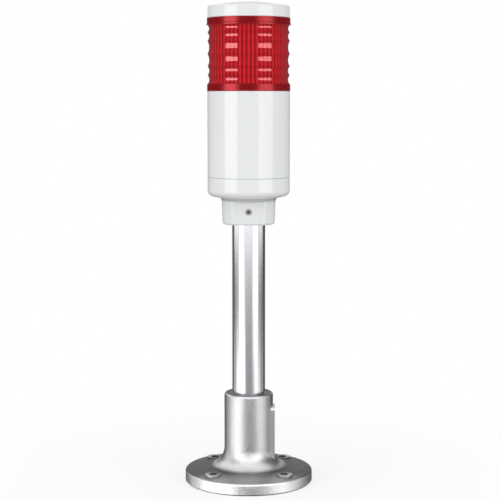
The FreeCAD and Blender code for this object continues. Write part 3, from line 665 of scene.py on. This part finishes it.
class STACKLIGHT_OT_set_screws(MaterialsOperator, bpy.types.Operator):
    """Make the collar's three set screws and the foot's one"""

    bl_idname = "stacklight.set_screws"
    bl_label = "Make the set screws"

    def execute(self, context):
        low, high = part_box("collar_set_screws")
        make_set_screws("Collar_set_screws", {
            "Diameter": 3.9 * MM, "Length": 2.5 * MM, "Pitch": 0.7 * MM,
            "Thread Depth": 0.25 * MM, "Hex Across": 2.0 * MM, "Hex Depth": 1.3 * MM,
            "Head Radius": -low.y, "Height": (low.z + high.z) / 2,
            "First Angle": -math.pi / 2, "Count": 3}, "dark_steel",
            screw_finish(self.colours.screw, -low.y), "collar_set_screws")
        # The foot's set screw takes the same steel at half tone, as painted shade.
        low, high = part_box("foot_set_screw")
        make_set_screws("Foot_set_screw", {
            "Diameter": 4.9 * MM, "Length": 6.0 * MM, "Pitch": 0.8 * MM,
            "Thread Depth": 0.3 * MM, "Hex Across": 2.5 * MM, "Hex Depth": 2.5 * MM,
            "Head Radius": high.x, "Height": (low.z + high.z) / 2,
            "First Angle": 0.0, "Count": 1}, "dark_steel",
            screw_finish(tone(self.colours.screw, 0.5), high.x), "foot_set_screw")
        return {"FINISHED"}


class STACKLIGHT_OT_lamps(MaterialsOperator, bpy.types.Operator):
    """Make the lamps on the tower's four boards"""

    bl_idname = "stacklight.lamps"
    bl_label = "Make the lamps"

    def execute(self, context):
        make_lamp_packages(plain_finish("Lamp package", (0.85, 0.84, 0.8), 0.4))
        make_lamp_wells(plain_finish("Lamp resin", SLOTS["lamp_resin"], 0.12))
        make_lamp_leads(plain_finish("Tinned lead", (0.8, 0.8, 0.78), 0.3, 1.0))
        return {"FINISHED"}


class STACKLIGHT_OT_fittings(MaterialsOperator, bpy.types.Operator):
    """Finish the screws, inserts, seals, boards and what stands on the boards"""

    bl_idname = "stacklight.fittings"
    bl_label = "Finish the fittings"

    def execute(self, context):
        dress(plain_finish("Bright steel", SLOTS["polished_steel"], 0.22, 1.0),
              "tie_screws", "tie_washers", "base_board_screws", "terminal_screws")
        dress(plain_finish("Turned brass", SLOTS["brass"], 0.25, 1.0), "cap_inserts")
        dress(plain_finish("Black rubber", (0.03, 0.03, 0.03), 0.7),
              "cap_seal", "lens_seal", "body_seal", "pole_bush")
        dress(plain_finish("White board", SLOTS["white_laminate"], 0.45),
              "led_board_front", "led_board_back", "led_board_left", "led_board_right",
              "led_base_board")
        dress(plain_finish("Green board", SLOTS["green_laminate"], 0.4), "control_board")
        dress(plain_finish("Green plastic", SLOTS["green_plastic"], 0.4), "terminal_block")
        dress(plain_finish("Cream plastic", SLOTS["cream_plastic"], 0.45),
              "board_socket", "led_tower_top")
        dress(plain_finish("Black sleeve", SLOTS["black_sleeve"], 0.25), "capacitors")
        dress(plain_finish("Black plastic", SLOTS["black_plastic"], 0.5), "driver_chips")
        return {"FINISHED"}


class STACKLIGHT_OT_stage(bpy.types.Operator):
    """Set the floor, the backdrop, the softboxes and the camera"""

    bl_idname = "stacklight.stage"
    bl_label = "Set the stage"
    bl_options = {"REGISTER", "UNDO"}

    def execute(self, context):
        scene = context.scene
        stage = scene.stack_light_stage
        scene.view_settings.view_transform = "Standard"
        make_floor(FLOOR_RADIUS)
        metal = bpy.data.collections.new("Lit by the low cards")
        for piece in (NODES["pole"], NODES["pole_foot"],
                      bpy.data.objects["Collar_set_screws"],
                      bpy.data.objects["Foot_set_screw"]):
            metal.objects.link(piece)
        cap = bpy.data.collections.new("Lit by the back card")
        cap.objects.link(NODES["top_cap"])
        light_room(scene, stage)
        left, right = stage.box_level, stage.box_level * 0.78
        softbox("Left box", (-69, -32), BOX_HEIGHTS, BOX_REACH, left)
        softbox("Right box", (27, 69), BOX_HEIGHTS, BOX_REACH, right)
        left, right = stage.box_level, stage.box_level * 0.62
        for card in (("Left low box", (-94, -25), LOW_BOX_HEIGHTS, BOX_REACH, left),
                     ("Right low box", (42, 88), LOW_BOX_HEIGHTS, BOX_REACH, right),
                     *METAL_CARDS):
            mirror_only(softbox(*card), metal)
        mirror_only(area_light("Overhead card", (0, -0.3, 1.2), (0, 0, 0), (2.4, 1.8), 1.6),
                    metal)
        mirror_only(softbox("Back card", (150, 210), (0.35, 0.95), 1.2, 0.6), cap)
        set_camera(scene, stage)
        return {"FINISHED"}


def make_floor(radius):
    """A round of white paper: it keeps the object's shadow in the middle, and fades to
    plain white at its edge."""
    angles = [i * math.tau / FLOOR_SIDES for i in range(FLOOR_SIDES)]
    rim = [(radius * math.cos(angle), radius * math.sin(angle), 0) for angle in angles]
    mesh = bpy.data.meshes.new("Floor")
    mesh.from_pydata(rim, [], [range(FLOOR_SIDES)])
    floor = bpy.data.objects.new("Floor", mesh)
    bpy.context.scene.collection.objects.link(floor)
    paper = Finish("Floor paper", Roughness=0.9, Specular_IOR_Level=0.0)
    fibre = paper.noise(900.0, 3.0)
    seen_tone = paper.blend(fibre, (0.84, 0.84, 0.84), (0.88, 0.88, 0.88))
    paper.into("Base Color", paper.blend(
        paper.ray_is("Diffuse"), seen_tone, (0.45, 0.45, 0.45)))
    paper.bump(fibre, 0.1, 0.0001)
    away = paper.add("ShaderNodeVectorMath", {0: paper.place}, operation="LENGTH")
    fade = paper.between(away.outputs["Value"], 0.6, 1.0, radius * 0.1, radius * 0.7, True)
    white = paper.add("ShaderNodeEmission", {"Color": (1, 1, 1, 1), "Strength": 1.0})
    seen = paper.maths("MULTIPLY", paper.ray_is("Camera", "Glossy", "Transmission"), fade)
    mix = paper.add("ShaderNodeMixShader", {0: seen})
    paper.link(paper.shader.outputs[0], mix.inputs[1])
    paper.link(white.outputs[0], mix.inputs[2])
    paper.link(mix.outputs[0], paper.tree.nodes["Material Output"].inputs["Surface"])
    mesh.materials.append(paper.material)
    floor.visible_glossy = False


def light_room(scene, stage):
    """Even light from all round. The camera sees plain white. Metal and clear plastic see
    a dim room with a white wall behind the object, up to eye level."""
    world = bpy.data.worlds.new("Room")
    world.use_nodes = True
    scene.world = world
    room = Graph(world.node_tree)
    towards = room.add("ShaderNodeTexCoord").outputs["Generated"]
    axes = room.add("ShaderNodeSeparateXYZ", {0: towards}).outputs
    wall = room.maths(
        "MULTIPLY", room.between(axes["Y"], 0.0, 1.0, math.cos(WALL_HALF_ANGLE + 0.05),
                                 math.cos(WALL_HALF_ANGLE), True),
        room.between(axes["Z"], 1.0, 0.0, 0.05, 0.1, True))
    mirrored = room.maths("MAXIMUM", wall, stage.mirrored_room)
    even = room.between(axes["Z"], stage.floor_level, stage.room_level, -0.3, 0.3)
    strength = room.choose(room.ray_is("Glossy", "Transmission"), even, mirrored)
    strength = room.choose(room.ray_is("Camera"), strength, 1.0)
    background = world.node_tree.nodes["Background"]
    room.link(strength, background.inputs["Strength"])
    room.link((1.0, 1.0, 1.0), background.inputs["Color"])


def area_light(name, place, turn, size, radiance):
    """A plain card of light."""
    data = bpy.data.lights.new(name, "AREA")
    data.shape = "RECTANGLE"
    data.size, data.size_y = size
    data.energy = radiance * math.pi * data.size * data.size_y
    lamp = bpy.data.objects.new(name, data)
    lamp.location = place
    lamp.rotation_euler = turn
    bpy.context.scene.collection.objects.link(lamp)
    return lamp


def softbox(name, azimuths, heights, reach, radiance):
    """An upright area light at that reach, spanning those azimuths, in degrees from the
    front towards the right, and those heights."""
    turn = math.radians(sum(azimuths) / 2)
    half = math.radians((azimuths[1] - azimuths[0]) / 2)
    place = (reach * math.sin(turn), -reach * math.cos(turn), sum(heights) / 2)
    size = (2 * reach * math.tan(half), heights[1] - heights[0])
    return area_light(name, place, (math.pi / 2, 0, turn), size, radiance)


def mirror_only(lamp, group):
    """Let only that group's pieces see the lamp, as a reflection and not as light."""
    lamp.visible_diffuse = False
    lamp.light_linking.receiver_collection = group


def set_camera(scene, stage):
    """A long lens in front, above the middle and looking slightly down."""
    data = bpy.data.cameras.new("Camera")
    data.sensor_width = SENSOR_WIDTH
    data.lens = CAMERA_LENS
    camera = bpy.data.objects.new("Camera", data)
    camera.location = (stage.camera_side, -stage.camera_distance, stage.camera_height)
    aim = Vector((stage.camera_side, 0, stage.aim_height)) - camera.location
    camera.rotation_euler = aim.to_track_quat("-Z", "Y").to_euler()
    scene.collection.objects.link(camera)
    scene.camera = camera


# ---------------------------------------------------------------- panel and main


class STACKLIGHT_PT_panel(bpy.types.Panel):
    """Lists the stack light's steps"""

    bl_label = "Stack Light"
    bl_idname = "STACKLIGHT_PT_panel"
    bl_space_type = "VIEW_3D"
    bl_region_type = "UI"
    bl_category = "Stack Light"

    def draw(self, context):
        for group in (context.scene.stack_light_colours, context.scene.stack_light_stage):
            for name in type(group).__annotations__:
                self.layout.prop(group, name)
        for operator in STEPS:
            self.layout.operator(operator.bl_idname)


STEPS = (
    STACKLIGHT_OT_shells,
    STACKLIGHT_OT_lens,
    STACKLIGHT_OT_pole,
    STACKLIGHT_OT_set_screws,
    STACKLIGHT_OT_lamps,
    STACKLIGHT_OT_fittings,
    STACKLIGHT_OT_stage,
)
CLASSES = (StackLightColours, StackLightStage, *STEPS, STACKLIGHT_PT_panel)


def register():
    for cls in CLASSES:
        bpy.utils.register_class(cls)
    scene = bpy.types.Scene
    scene.stack_light_colours = bpy.props.PointerProperty(type=StackLightColours)
    scene.stack_light_stage = bpy.props.PointerProperty(type=StackLightStage)


def unregister():
    del bpy.types.Scene.stack_light_stage
    del bpy.types.Scene.stack_light_colours
    for cls in reversed(CLASSES):
        bpy.utils.unregister_class(cls)


def main():
    register()
    for operator in STEPS:
        group, name = operator.bl_idname.split(".")
        getattr(getattr(bpy.ops, group), name)()


if __name__ == "__main__":
    main()
